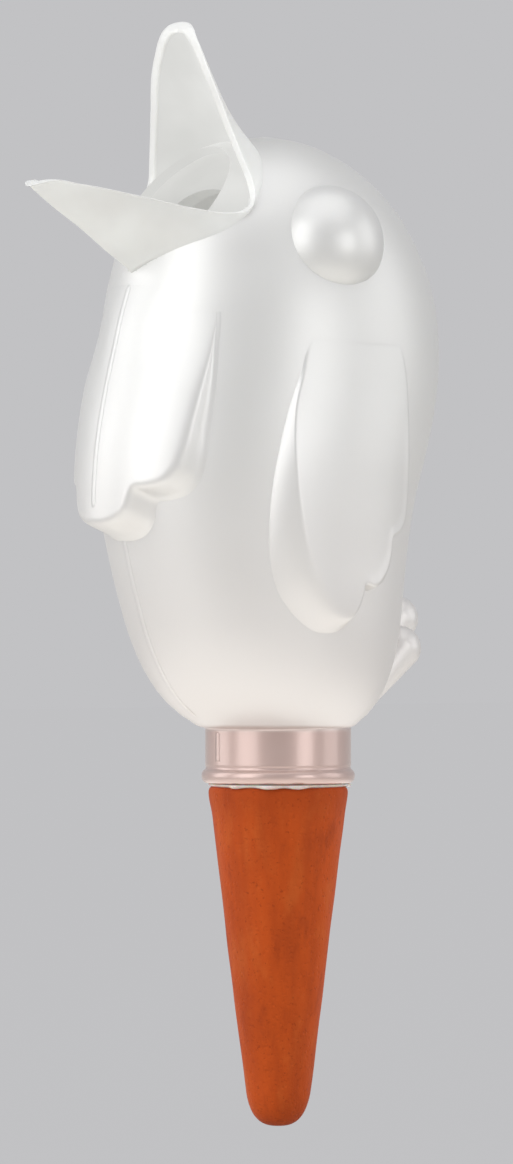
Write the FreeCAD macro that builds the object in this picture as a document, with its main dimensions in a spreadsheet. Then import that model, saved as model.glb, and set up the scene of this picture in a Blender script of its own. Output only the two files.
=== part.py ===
# Self watering spike: a hollow bird that holds the water, on a porous clay spike.
# Units are millimetres. The origin lies on the spike's axis at the underside of the collar,
# where the soil stops. +Z is up, the bird faces -Y, and its left side is +X.
# Below, "forward" is the distance along -Y, "side" along +X and "height" along +Z.
import FreeCAD, Part
import os
from math import acos, asin, atan2, cos, hypot, pi, radians, sin

Vector = FreeCAD.Vector
doc = FreeCAD.newDocument("watering_spike")

# Driving dimensions
SIZES = {
    # the bird's body above the collar, an oval that leans forward in the middle
    "body_rise": 141.3,
    "body_half_depth": 43.0,
    "body_half_width": 36.4,
    "body_lean": 6.2,
    "wall": 2.0,
    # chest feathers, which stand out forward and hang over the belly in three lobes
    "bib_half_width": 24.2,
    "bib_drop": 66.0,
    "bib_hem_height": 58.8,
    "bib_stand_out": 8.6,
    "bib_hem_slope": 0.41,
    # wings, which stand out sideways and swell towards the front
    "wing_middle_forward": 2.4,
    "wing_middle_height": 70.0,
    "wing_half_length": 35.0,
    "wing_half_width": 20.3,
    "wing_rise_side": 3.3,
    "wing_rise_front": 3.5,
    # bulging eyes
    "eye_radius": 14.0,
    "eye_forward": 3.2,
    "eye_side": 24.8,
    "eye_height": 129.0,
    # tail of three lobes that turn up behind
    "tail_lean": 40.0,
    "tail_middle_top": 44.6,
    "tail_middle_reach": 40.2,
    "tail_middle_length": 20.0,
    "tail_side_top": 37.6,
    "tail_side_reach": 36.0,
    "tail_side_length": 15.0,
    "tail_side_spread": 7.0,
    "tail_lobe_radius": 5.4,
    "tail_root_radius": 3.6,
    # open beak: two horns that part from one round throat
    "beak_forward": 28.0,
    "beak_height": 137.2,
    "beak_tilt": 45.0,
    "beak_radius": 22.6,
    "throat_depth": 12.0,
    "upper_beak_length": 33.0,
    "lower_beak_length": 36.0,
    "mouth_length": 36.0,
    # collar under the body
    "collar_height": 13.5,
    "collar_radius": 17.5,
    "collar_wall": 1.6,
    "rim_radius": 18.4,
    "rim_height": 3.5,
    "rim_bevel": 0.5,
    "collar_lead_in": 1.25,
    # clay spike, hollow and closed at the tip
    "spike_length": 81.5,
    "spike_radius": 16.9,
    "spike_tip_radius": 7.9,
    "spike_shoulder_bevel": 1.2,
    "spike_neck_height": 12.0,
    "spike_bore_radius": 10.9,
    "spike_bore_tip_radius": 3.0,
    "spike_floor": 9.0,
    # sealant between the clay neck and the collar
    "seal_gap": 0.5,
    "shoulder_gap": 0.8,
    "seal_lip": 1.1,
    # tools and overruns
    "overrun": 1.0,
    "cut_reach": 120.0,
}

sheet = doc.addObject("Spreadsheet::Sheet", "Sizes")
for row, (alias, value) in enumerate(SIZES.items(), start=1):
    sheet.set("A%d" % row, alias)
    sheet.set("B%d" % row, str(value))
    sheet.setAlias("B%d" % row, alias)
doc.recompute()


def size(alias):
    """Value of a driving dimension, read back from the sheet."""
    return float(sheet.get(alias))


def bind(thing, **expressions):
    """Ties properties to the sheet; a double underscore in a name stands for a dot."""
    for prop, expression in expressions.items():
        thing.setExpression(prop.replace("__", "."), expression)
    return thing


def join(kind, name, **links):
    """A boolean of the document, such as Part::Cut or Part::MultiFuse."""
    thing = doc.addObject(kind, name)
    for prop, value in links.items():
        setattr(thing, prop, value)
    return thing


def point(side, forward, height):
    """A place in the part's frame."""
    return Vector(side, -forward, height)


def turned(name, edges):
    """A solid turned about the upright axis from a closed profile."""
    profile = doc.addObject("Part::Feature", name + "_profile")
    profile.Shape = Part.Face(Part.Wire(edges))
    return join("Part::Revolution", name, Source=profile, Axis=Vector(0, 0, 1), Angle=360)


# Body
# Stations of the body from the collar to the crown, as shares of its rise, lean, half depth
# and half width, then how much of the bib's and of the wings' relief each one carries.
BODY_SHARES = (
    (0.045, 0.31, 0.616, 0.646, 1.00, 1.00),
    (0.147, 0.63, 0.777, 0.797, 1.00, 1.00),
    (0.300, 0.97, 0.877, 0.879, 1.00, 1.00),
    (0.470, 0.82, 0.974, 0.967, 0.60, 0.55),
    (0.619, 0.44, 1.000, 1.000, 0.27, 0.12),
    (0.754, 0.40, 0.935, 0.951, 0.03, -0.25),
    (0.871, 0.71, 0.767, 0.791, -0.20, -0.50),
)
CROWN_SHARES = (
    (0.943, 0.87, 0.553, 0.577),
    (0.987, 0.89, 0.270, 0.286),
)
FOOT_LEAN_SHARE = 0.08
CROWN_LEAN_SHARE = 0.87
OVAL_POINTS = 12
# How near two heights are that count as the same one
TOUCH = 0.001


def oval(name, side, forward, height, half_depth, half_width):
    """A level oval section, a smooth closed curve that starts right of its front."""
    middle = point(side, forward, height)
    turns = [radians(360 * (index - 0.5) / OVAL_POINTS) for index in range(OVAL_POINTS)]
    curve = Part.BSplineCurve()
    curve.interpolate(Points=[middle + point(half_width * sin(turn), half_depth * cos(turn), 0)
                              for turn in turns],
                      PeriodicFlag=True, Parameters=list(range(OVAL_POINTS + 1)))
    section = doc.addObject("Part::Feature", name)
    section.Shape = Part.Wire(curve.toShape())
    return section


def tip(name, side, forward, height):
    """The point where a loft closes."""
    vertex = doc.addObject("Part::Vertex", name)
    vertex.X = side
    vertex.Y = -forward
    vertex.Z = height
    return vertex


def loft(name, sections, ruled=False):
    return join("Part::Loft", name, Sections=sections, Solid=True, Ruled=ruled)


def body_rows(inset):
    """Height, forward place, half depth, half width, bib share and wing share of each station."""
    foot = size("collar_height") + inset / 2
    rise = size("collar_height") + size("body_rise") - inset - foot
    rows = []
    for height, lean, depth, width, bib, wing in BODY_SHARES:
        rows.append((foot + height * rise, lean * size("body_lean"),
                     depth * size("body_half_depth") - inset,
                     width * size("body_half_width") - inset, bib, wing))
    return foot, rise, rows


def body(name, inset):
    foot, rise, rows = body_rows(inset)
    foot_radius = size("rim_radius") - inset
    sections = [oval(name + "_foot", 0, FOOT_LEAN_SHARE * size("body_lean"), foot,
                     foot_radius, foot_radius)]
    for index, (height, forward, depth, width, bib, wing) in enumerate(rows):
        sections.append(oval("%s_%d" % (name, index), 0, forward, height, depth, width))
    for index, (height, lean, depth, width) in enumerate(CROWN_SHARES):
        sections.append(oval("%s_crown_%d" % (name, index), 0, lean * size("body_lean"),
                             foot + height * rise,
                             depth * size("body_half_depth") - inset,
                             width * size("body_half_width") - inset))
    sections.append(tip(name + "_tip", 0, CROWN_LEAN_SHARE * size("body_lean"), foot + rise))
    return loft(name, sections)


def skin(name, inset, bib_out, wing_side, wing_front):
    """The body's middle stations moved outward, which bounds the bib or a wing."""
    sections = []
    for index, (height, forward, depth, width, bib, wing) in enumerate(body_rows(inset)[2]):
        sections.append(oval("%s_%d" % (name, index), wing * wing_side,
                             forward + bib * bib_out + wing * wing_front,
                             height, depth, width))
    return loft(name, sections)


# Bib
# Half of the hem, as shares of the bib's half width and of its drop above the hem's lowest
# point: down the side, round the side lobe and into the notch beside the middle lobe.
BIB_SIDE_SHARES = ((1.0, 0.56), (0.97, 0.45), (0.88, 0.25), (0.74, 0.175), (0.54, 0.15))
BIB_NOTCH_SHARE = (0.47, 0.115)


def bib(name, inset):
    """Left part of the chest feathers, with all of the middle lobe.

    An outline is drawn forward and up, and cut off by the body moved forward.
    """
    half_width = size("bib_half_width") - inset
    drop = size("bib_drop") - inset
    hem = size("bib_hem_height") + inset
    plane = size("body_half_depth")

    def at(share, up):
        return point(share * half_width, plane, hem + up * drop)

    flank = Part.BSplineCurve()
    flank.interpolate([at(*shares) for shares in BIB_SIDE_SHARES])
    notch, up = BIB_NOTCH_SHARE
    edges = [Part.makeLine(at(1, 1), at(*BIB_SIDE_SHARES[0])),
             flank.toShape(),
             Part.makeLine(at(*BIB_SIDE_SHARES[-1]), at(notch, up)),
             Part.Arc(at(notch, up), at(0, 0), at(-notch, up)).toShape(),
             Part.makeLine(at(-notch, up), at(-notch, 1)),
             Part.makeLine(at(-notch, 1), at(1, 1))]
    outline = doc.addObject("Part::Feature", name + "_outline")
    outline.Shape = Part.Face(Part.Wire(edges))
    drawn = join("Part::Extrusion", name + "_drawn", Base=outline, DirMode="Custom",
                 Dir=Vector(0, -1, size("bib_hem_slope")), Solid=True)
    bind(drawn, LengthFwd="Sizes.bib_stand_out * 3", LengthRev="Sizes.bib_stand_out * 2")
    cover = skin(name + "_skin", inset, size("bib_stand_out"), 0, 0)
    return join("Part::Common", name, Base=cover, Tool=drawn)


# Wing
# Front edge from the root to the lower end, as shares of the wing's half width forward of its
# middle and of its half length above it, each with how far its bevel runs in from that edge.
WING_FRONT_SHARES = (
    (0.66, 1.03, 0.00, 0.05),
    (0.83, 0.59, 0.04, 0.00),
    (0.99, 0.08, 0.19, 0.00),
    (0.95, -0.47, 0.35, 0.00),
    (0.62, -0.88, 0.30, -0.14),
    (-0.02, -0.98, 0.04, -0.09),
)
# Trailing edge: a point on each lobe and the notch that ends it, from the lower end upward
WING_LOBE_SHARES = (
    ((-0.18, -0.80), (-0.25, -0.64)),
    ((-0.54, -0.64), (-0.70, -0.36)),
    ((-0.95, -0.27), (-1.00, -0.06)),
)
WING_BACK_SHARE = (-0.80, 1.03)
# The bevelled sides are drawn between two planes, at these shares of the body's half width;
# between them the bevel runs this many times its own width.
WING_PLANE_SHARES = (0.60, 1.10)
WING_BEVEL_SHARES = (1.6, -1.9)


def wing_outline(name, inset, plane_share, bevel_share):
    half_width = size("wing_half_width") - inset
    half_length = size("wing_half_length") - inset
    plane = plane_share * size("body_half_width")

    def at(forward, up):
        return point(plane, size("wing_middle_forward") + forward * half_width,
                     size("wing_middle_height") + up * half_length)

    front = [at(forward + bevel_share * in_forward, up + bevel_share * in_up)
             for forward, up, in_forward, in_up in WING_FRONT_SHARES]
    edge = Part.BSplineCurve()
    edge.interpolate(front)
    edges = [edge.toShape()]
    start = front[-1]
    for middle, notch in WING_LOBE_SHARES:
        edges.append(Part.Arc(start, at(*middle), at(*notch)).toShape())
        start = at(*notch)
    back = at(*WING_BACK_SHARE)
    edges.append(Part.makeLine(start, back))
    edges.append(Part.makeLine(back, front[0]))
    outline = doc.addObject("Part::Feature", name)
    outline.Shape = Part.Wire(edges)
    return outline


def wing(name, inset):
    """A wing: bevelled sides drawn sideways, cut off by the body moved out and forward."""
    planes = [wing_outline("%s_outline_%d" % (name, index), inset, plane_share, bevel_share)
              for index, (plane_share, bevel_share)
              in enumerate(zip(WING_PLANE_SHARES, WING_BEVEL_SHARES))]
    drawn = loft(name + "_drawn", planes, ruled=True)
    cover = skin(name + "_skin", inset, 0, size("wing_rise_side"), size("wing_rise_front"))
    return join("Part::Common", name, Base=cover, Tool=drawn)


# Eye
def eye(name, inset):
    ball = doc.addObject("Part::Sphere", name)
    return bind(ball, Radius="Sizes.eye_radius - %s" % inset_term(inset),
                Placement__Base__x="Sizes.eye_side",
                Placement__Base__y="-Sizes.eye_forward",
                Placement__Base__z="Sizes.eye_height")


def inset_term(inset):
    """The wall as an expression, for the pieces of the cavity, or nothing for the outside."""
    return "Sizes.wall" if inset else "0"


# Tail
def tail_lobe(name, inset, which, side):
    """One lobe of the tail: a tilted club whose top and furthest point behind are given."""
    top = size("tail_lobe_radius") - inset
    root = size("tail_root_radius") - inset
    length = size("tail_%s_length" % which)
    flare = asin((top - root) / length)
    middle = (pi / 2 - flare) / 2
    upper = Vector(top * cos(flare), 0, -top * sin(flare))
    lower = Vector(root * cos(flare), 0, -length - root * sin(flare))
    end = Vector(0, 0, -length - root)
    low_middle = Vector(root * sin(middle), 0, -length - root * cos(middle))
    high_middle = Vector(top * cos(flare / 2), 0, top * sin(flare / 2))
    lobe = turned(name, [Part.Arc(Vector(0, 0, top), high_middle, upper).toShape(),
                         Part.makeLine(upper, lower),
                         Part.Arc(lower, low_middle, end).toShape(),
                         Part.makeLine(end, Vector(0, 0, top))])
    lobe.Placement.Rotation = FreeCAD.Rotation(Vector(1, 0, 0), -size("tail_lean"))
    return bind(lobe, Placement__Base__x="Sizes.tail_side_spread * %d" % side,
                Placement__Base__y="Sizes.tail_%s_reach - Sizes.tail_lobe_radius" % which,
                Placement__Base__z="Sizes.tail_%s_top - Sizes.tail_lobe_radius" % which)


def tail(name, inset):
    """The middle lobe and the lower one on its left."""
    return [tail_lobe(name + "_middle", inset, "middle", 0),
            tail_lobe(name + "_left", inset, "side", 1)]


# Beak
# Each horn is a row of circles square to the beak's axis: place along the axis as a share of
# the horn's length, shift of the centre across it and radius as shares of the beak's radius.
UPPER_HORN_SHARES = (
    (0.00, 0.013, 1.000),
    (0.36, 0.106, 0.965),
    (0.67, 0.420, 0.805),
    (0.86, 0.774, 0.584),
    (1.00, 1.040, 0.398),
)
LOWER_HORN_SHARES = (
    (0.00, 0.022, 0.938),
    (0.22, -0.159, 0.823),
    (0.47, -0.381, 0.664),
    (0.75, -0.646, 0.491),
    (1.00, -0.894, 0.301),
)
THROAT_SHARE = 0.95
# Edge of the open mouth seen from the side, from the upper tip round the corner to the lower
# tip: place along the axis and across it as shares of the mouth's length.
MOUTH_SHARES = (
    (0.895, 0.960),
    (0.862, 0.848),
    (0.722, 0.708),
    (0.430, 0.508),
    (0.167, 0.319),
    (-0.025, 0.228),
    (-0.108, 0.083),
    (-0.017, -0.053),
    (0.153, -0.164),
    (0.447, -0.350),
    (0.785, -0.570),
    (0.915, -0.668),
    (0.942, -0.728),
    (0.950, -0.800),
)


def beak_point(along, across):
    """A point of the mid plane from its place along and across the beak's axis."""
    tilt = radians(size("beak_tilt"))
    return point(0, size("beak_forward") + along * cos(tilt) - across * sin(tilt),
                 size("beak_height") + along * sin(tilt) + across * cos(tilt))


def horn(name, inset, shares, length):
    """One half of the beak before the mouth is cut, with the throat behind it."""
    rows = [("-Sizes.throat_depth", 0.0, THROAT_SHARE)]
    rows += [("Sizes.%s * %g" % (length, along), across, radius)
             for along, across, radius in shares]
    sections = []
    for index, (along, across, radius) in enumerate(rows):
        ring = doc.addObject("Part::Circle", "%s_%d" % (name, index))
        shift = "Sizes.beak_radius * %g" % across
        forward = "Sizes.beak_forward + %s * cos(Sizes.beak_tilt) - %s * sin(Sizes.beak_tilt)"
        height = "Sizes.beak_height + %s * sin(Sizes.beak_tilt) + %s * cos(Sizes.beak_tilt)"
        ring.Placement.Rotation = FreeCAD.Rotation(180, 0, size("beak_tilt") - 90)
        bind(ring, Radius="Sizes.beak_radius * %g - %s" % (radius, inset_term(inset)),
             Placement__Base__y="-(%s)" % (forward % (along, shift)),
             Placement__Base__z=height % (along, shift))
        sections.append(ring)
    return loft(name, sections)


def mouth():
    """The space between the open halves of the beak, drawn across the whole head."""
    reach = size("mouth_length")
    edge = Part.BSplineCurve()
    edge.interpolate([beak_point(along * reach, across * reach)
                      for along, across in MOUTH_SHARES])
    upper = beak_point(MOUTH_SHARES[0][0] * reach, MOUTH_SHARES[0][1] * reach)
    lower = beak_point(MOUTH_SHARES[-1][0] * reach, MOUTH_SHARES[-1][1] * reach)
    far_upper = beak_point(2 * reach, MOUTH_SHARES[0][1] * reach)
    far_lower = beak_point(2 * reach, MOUTH_SHARES[-1][1] * reach)
    edges = [edge.toShape(), Part.makeLine(lower, far_lower),
             Part.makeLine(far_lower, far_upper), Part.makeLine(far_upper, upper)]
    outline = doc.addObject("Part::Feature", "mouth_outline")
    outline.Shape = Part.Face(Part.Wire(edges))
    space = join("Part::Extrusion", "mouth", Base=outline, DirMode="Custom",
                 Dir=Vector(1, 0, 0), Solid=True)
    return bind(space, LengthFwd="Sizes.beak_radius * 2", LengthRev="Sizes.beak_radius * 2")


# Collar
def cylinder(name, radius, height, bottom="0"):
    """An upright cylinder on the spike's axis."""
    thing = doc.addObject("Part::Cylinder", name)
    return bind(thing, Radius=radius, Height=height, Placement__Base__z=bottom)


def edged(kind, name, solid, amount, heights):
    """Rounds or bevels the level outer edges of a turned solid that lie at the given heights."""
    doc.recompute()
    value = size(amount)
    chosen = []
    for number, edge in enumerate(solid.Shape.Edges, start=1):
        box = edge.BoundBox
        level = box.ZLength < TOUCH
        if level and any(abs(box.ZMin - height) < TOUCH for height in heights):
            chosen.append((number, value, value))
    return join(kind, name, Base=solid, Edges=chosen)


def collar():
    """The turned foot of the body: a short tube with a thicker, bevelled rim."""
    tube = cylinder("collar_tube", "Sizes.collar_radius", "Sizes.collar_height + Sizes.overrun")
    rim = edged("Part::Chamfer", "collar_rim",
                cylinder("collar_rim_blank", "Sizes.rim_radius", "Sizes.rim_height"),
                "rim_bevel", (0, size("rim_height")))
    return [tube, rim]


# Body shells
def forms(name, inset):
    """Every form of the bird's left side, or drawn in by the wall for the cavity."""
    return [body(name + "_body", inset), bib(name + "_bib", inset),
            wing(name + "_wing", inset), eye(name + "_eye", inset),
            *tail(name + "_tail", inset),
            horn(name + "_upper_horn", inset, UPPER_HORN_SHARES, "upper_beak_length"),
            horn(name + "_lower_horn", inset, LOWER_HORN_SHARES, "lower_beak_length")]


def chain(kind, name, base, tools):
    """Applies one boolean after another, a tool at a time."""
    for index, tool in enumerate(tools):
        base = join(kind, "%s_%d" % (name, index), Base=base, Tool=tool)
    return base


def shells():
    """Two moulded halves, alike but for the hand, glued along the mid plane."""
    left_side = doc.addObject("Part::Box", "left_side")
    bind(left_side, Length="Sizes.cut_reach", Width="Sizes.cut_reach * 2",
         Height="Sizes.cut_reach * 2", Placement__Base__y="-Sizes.cut_reach",
         Placement__Base__z="-Sizes.overrun")
    outside = [join("Part::Common", form.Name + "_left", Base=form, Tool=left_side)
               for form in forms("outer", 0) + collar()]
    whole = chain("Part::Fuse", "left_outside", outside[0], outside[1:])
    bore = cylinder("collar_bore", "Sizes.collar_radius - Sizes.collar_wall",
                    "Sizes.collar_height + Sizes.wall + Sizes.overrun", "-Sizes.overrun")
    # wider at the bottom than the clay's shoulder, so that only the rim meets the soil
    lead_in = doc.addObject("Part::Cone", "collar_lead_in")
    bind(lead_in, Radius2="Sizes.collar_radius - Sizes.collar_wall",
         Radius1="Sizes.collar_radius - Sizes.collar_wall + Sizes.collar_lead_in"
                 " + Sizes.overrun",
         Height="Sizes.collar_lead_in + Sizes.overrun", Placement__Base__z="-Sizes.overrun")
    left = chain("Part::Cut", "left_half", whole,
                 forms("inner", size("wall")) + [mouth(), bore, lead_in])
    left.Label = "left_shell"
    right = join("Part::Mirroring", "right_half", Source=left, Base=Vector(),
                 Normal=Vector(1, 0, 0))
    right.Label = "right_shell"
    return left, right


# Clay spike
def clay_spike():
    """A turned clay cone with a neck that enters the collar, hollow from the top."""
    shoulder = -size("shoulder_gap")
    end = shoulder - size("spike_length")
    ball = size("spike_tip_radius")
    ball_height = end + ball
    # the cone's side leaves its shoulder and touches the ball at its tip
    rise = shoulder - ball_height
    turn = atan2(size("spike_radius"), rise) + acos(ball / hypot(size("spike_radius"), rise))
    side = Vector(ball * sin(turn), 0, ball_height + ball * cos(turn))
    turn = (turn + pi) / 2
    ball_middle = Vector(ball * sin(turn), 0, ball_height + ball * cos(turn))
    edge = Vector(size("spike_radius"), 0, shoulder)
    cone = turned("spike_cone", [Part.Arc(Vector(0, 0, end), ball_middle, side).toShape(),
                                 Part.makeLine(side, edge),
                                 Part.makeLine(edge, Vector(0, 0, shoulder)),
                                 Part.makeLine(Vector(0, 0, shoulder), Vector(0, 0, end))])
    body_of_clay = edged("Part::Chamfer", "spike_bevelled", cone, "spike_shoulder_bevel",
                         (shoulder,))
    neck = cylinder("spike_neck", "Sizes.collar_radius - Sizes.collar_wall - Sizes.seal_gap",
                    "Sizes.spike_neck_height + Sizes.shoulder_gap + Sizes.overrun",
                    "-Sizes.shoulder_gap - Sizes.overrun")
    solid = join("Part::MultiFuse", "spike_solid", Shapes=[body_of_clay, neck])
    bore = doc.addObject("Part::Cone", "spike_bore")
    bind(bore, Radius1="Sizes.spike_bore_tip_radius", Radius2="Sizes.spike_bore_radius",
         Height="Sizes.spike_length + Sizes.spike_neck_height + Sizes.shoulder_gap"
                " + Sizes.overrun - Sizes.spike_floor",
         Placement__Base__z="Sizes.spike_floor - Sizes.spike_length - Sizes.shoulder_gap")
    spike = join("Part::Cut", "spike", Base=solid, Tool=bore)
    spike.Label = "clay_spike"
    return spike


# Sealant
def sealant_ring():
    """Sealant that fills the gap round the clay neck, with a lip under the collar."""
    sleeve = cylinder("seal_sleeve", "Sizes.collar_radius - Sizes.collar_wall",
                      "Sizes.spike_neck_height")
    lip = cylinder("seal_lip",
                   "Sizes.collar_radius - Sizes.collar_wall - Sizes.seal_gap + Sizes.seal_lip",
                   "Sizes.shoulder_gap", "-Sizes.shoulder_gap")
    solid = join("Part::MultiFuse", "seal_solid", Shapes=[sleeve, lip])
    hole = cylinder("seal_hole", "Sizes.collar_radius - Sizes.collar_wall - Sizes.seal_gap",
                    "Sizes.spike_neck_height + Sizes.shoulder_gap + Sizes.overrun * 2",
                    "-Sizes.shoulder_gap - Sizes.overrun")
    ring = join("Part::Cut", "seal", Base=solid, Tool=hole)
    ring.Label = "sealant_ring"
    return ring


pieces = [*shells(), clay_spike(), sealant_ring()]
doc.recompute()

for thing in doc.Objects:
    if "Invalid" in thing.State or "Error" in thing.State:
        raise RuntimeError("%s failed: %s" % (thing.Name, thing.State))
for piece in pieces:
    if piece.Shape.isNull() or not piece.Shape.isValid():
        raise RuntimeError("%s has no valid shape" % piece.Label)

os.makedirs("parts", exist_ok=True)
for piece in pieces:
    piece.Shape.exportStep("parts/%s.step" % piece.Label)
    box = piece.Shape.BoundBox
    print("%-14s solids %d  volume %9.1f  z %.1f to %.1f" % (
        piece.Label, len(piece.Shape.Solids), piece.Shape.Volume, box.ZMin, box.ZMax))
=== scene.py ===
from bisect import bisect_right
from functools import cache
from math import acos, atan2, cos, exp, hypot, pi, radians, sin, sqrt

import bmesh
import bpy
from mathutils import Matrix, Vector


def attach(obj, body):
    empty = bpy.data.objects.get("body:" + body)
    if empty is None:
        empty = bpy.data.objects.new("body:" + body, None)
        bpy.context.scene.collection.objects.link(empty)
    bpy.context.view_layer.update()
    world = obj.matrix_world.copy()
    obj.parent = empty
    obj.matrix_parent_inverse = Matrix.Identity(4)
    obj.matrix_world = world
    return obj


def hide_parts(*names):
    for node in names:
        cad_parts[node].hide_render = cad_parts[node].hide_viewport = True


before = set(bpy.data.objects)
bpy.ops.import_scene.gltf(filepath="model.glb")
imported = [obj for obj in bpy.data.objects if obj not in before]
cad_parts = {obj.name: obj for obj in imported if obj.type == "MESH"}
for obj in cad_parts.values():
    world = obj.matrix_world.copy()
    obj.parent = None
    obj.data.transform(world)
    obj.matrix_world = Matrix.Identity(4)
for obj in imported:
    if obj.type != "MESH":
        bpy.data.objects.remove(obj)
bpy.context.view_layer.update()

MM = 0.001
ROOT = "root"
# Points of a mesh that lie closer together than this, in mm, become one
WELD = 0.004


# Lines and meshes
def bend(rows):
    """Smooth values between rows of (place, value, value ...)."""
    keys = [row[0] for row in rows]

    def slope(row, column):
        low, high = max(row - 1, 0), min(row + 1, len(rows) - 1)
        if high - low < 2:
            return (rows[high][column] - rows[low][column]) / (keys[high] - keys[low])
        before, after = keys[row] - keys[low], keys[high] - keys[row]
        rise = (rows[row][column] - rows[low][column]) / before
        fall = (rows[high][column] - rows[row][column]) / after
        return (rise * after + fall * before) / (before + after)

    slopes = [[slope(row, column) for column in range(1, len(rows[0]))]
              for row in range(len(rows))]

    def at(key):
        row = max(0, min(bisect_right(keys, key) - 1, len(rows) - 2))
        span = keys[row + 1] - keys[row]
        t = max(0.0, min(1.0, (key - keys[row]) / span))
        weights = (2 * t**3 - 3 * t**2 + 1, (t**3 - 2 * t**2 + t) * span,
                   3 * t**2 - 2 * t**3, (t**3 - t**2) * span)
        values = [weights[0] * low + weights[1] * leave + weights[2] * high + weights[3] * reach
                  for low, leave, high, reach in zip(rows[row][1:], slopes[row],
                                                     rows[row + 1][1:], slopes[row + 1])]
        return values if len(values) > 1 else values[0]

    return at


def path(points):
    """A smooth line through points, asked by the share of its length in their first two values."""
    keys = [0.0]
    for low, high in zip(points, points[1:]):
        keys.append(keys[-1] + hypot(high[0] - low[0], high[1] - low[1]))
    return bend([(key / keys[-1], *point) for key, point in zip(keys, points)])


def spread(low, high, count):
    """Even steps from low to high, both included."""
    return [low + (high - low) * step / (count - 1) for step in range(count)]


def ease(low, high, value):
    """A soft step from 0 at low to 1 at high."""
    t = max(0.0, min(1.0, (value - low) / (high - low)))
    return t * t * (3 - 2 * t)


def mix(low, high, t):
    """A row of values a share of the way from one row to another."""
    return [a + (b - a) * t for a, b in zip(low, high)]


def square_to(low, high):
    """The unit vector a quarter turn to the right of the way from low to high."""
    run, rise = high[0] - low[0], high[1] - low[1]
    length = hypot(run, rise)
    return rise / length, -run / length


def solve(test, low, high, steps=40):
    """The value between low, where the test is negative, and high, where it is positive."""
    for _ in range(steps):
        middle = (low + high) / 2
        if test(middle) < 0:
            low = middle
        else:
            high = middle
    return (low + high) / 2


def grid_mesh(columns, rows, place, inner=(0, 0)):
    """A grid whose points go where place(across, along) says: side, forward, height in mm.

    Faces between the two inner rows get the second finish.
    """
    bm = bmesh.new()
    bmesh.ops.create_grid(bm, x_segments=columns, y_segments=rows, size=0.5)
    for face in bm.faces:
        if inner[0] < (face.calc_center_median().y + 0.5) * rows < inner[1]:
            face.material_index = 1
    for vert in bm.verts:
        side, forward, height = place(round((vert.co.x + 0.5) * columns) / columns,
                                      round((vert.co.y + 0.5) * rows) / rows)
        vert.co = Vector((side, -forward, height)) * MM
    return bm


def fill_holes(bm):
    """Closes every open edge loop with a face."""
    open_edges = [edge for edge in bm.edges if edge.is_boundary]
    bmesh.ops.holes_fill(bm, edges=open_edges, sides=0)


def as_mesh(name, bm):
    """Turns a bmesh into a mesh and frees it."""
    mesh = bpy.data.meshes.new(name)
    bm.to_mesh(mesh)
    bm.free()
    return mesh


def in_scene(name, data):
    """A new object in the scene."""
    thing = bpy.data.objects.new(name, data)
    bpy.context.scene.collection.objects.link(thing)
    return thing


def piece(name, bm, finish, nodes=(), inner=None):
    """Merges the mesh's doubles, turns it outward and hangs it on the body."""
    bmesh.ops.remove_doubles(bm, verts=bm.verts, dist=WELD * MM)
    bmesh.ops.dissolve_degenerate(bm, edges=bm.edges, dist=WELD * MM / 4)
    bmesh.ops.recalc_face_normals(bm, faces=bm.faces)
    for face in bm.faces:
        face.smooth = True
    thing = in_scene(name, as_mesh(name, bm))
    thing.data.materials.append(finish)
    if inner:
        thing.data.materials.append(inner)
    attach(thing, ROOT)
    if nodes:
        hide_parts(*nodes)
    return thing


def mirrored(bm):
    """Adds the other side of a piece that stands off the mid plane."""
    twin = bmesh.ops.duplicate(bm, geom=bm.verts[:] + bm.edges[:] + bm.faces[:])["geom"]
    verts = [part for part in twin if isinstance(part, bmesh.types.BMVert)]
    for vert in verts:
        vert.co.x = -vert.co.x
    faces = [part for part in twin if isinstance(part, bmesh.types.BMFace)]
    bmesh.ops.reverse_faces(bm, faces=faces)
    return bm


# Finishes
class Signal:
    """A node's output whose operators add Math nodes."""

    def __init__(self, nodes, socket):
        self.nodes, self.socket = nodes, socket

    def maths(self, kind, first, second):
        return self.nodes.node("ShaderNodeMath", {"operation": kind}, {0: first, 1: second})

    def __add__(self, other):
        return self.maths("ADD", self, other)

    def __radd__(self, other):
        return self.maths("ADD", other, self)

    def __sub__(self, other):
        return self.maths("SUBTRACT", self, other)

    def __rsub__(self, other):
        return self.maths("SUBTRACT", other, self)

    def __mul__(self, other):
        return self.maths("MULTIPLY", self, other)

    def __rmul__(self, other):
        return self.maths("MULTIPLY", other, self)

    def clip(self, low, high):
        """0 at low, 1 at high and a soft step between."""
        return self.nodes.node("ShaderNodeMapRange",
                               {"clamp": True, "interpolation_type": "SMOOTHSTEP"},
                               {"Value": self, "From Min": low, "From Max": high})


class Nodes:
    """A node tree whose nodes all come from one method."""

    def __init__(self, tree):
        self.tree = tree
        tree.nodes.clear()

    def node(self, kind, settings=None, sockets=None, output=0):
        """Adds a node, with its settings first, then what its sockets hold or are linked to."""
        made = self.tree.nodes.new(kind)
        for name, value in (settings or {}).items():
            setattr(made, name, value)
        for name, value in (sockets or {}).items():
            socket = made.inputs[name]
            if isinstance(value, Signal):
                self.tree.links.new(value.socket, socket)
            elif socket.type == "RGBA":
                socket.default_value = (*value, 1.0)
            else:
                socket.default_value = value
        return Signal(self, made.outputs[output]) if made.outputs else None


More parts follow.
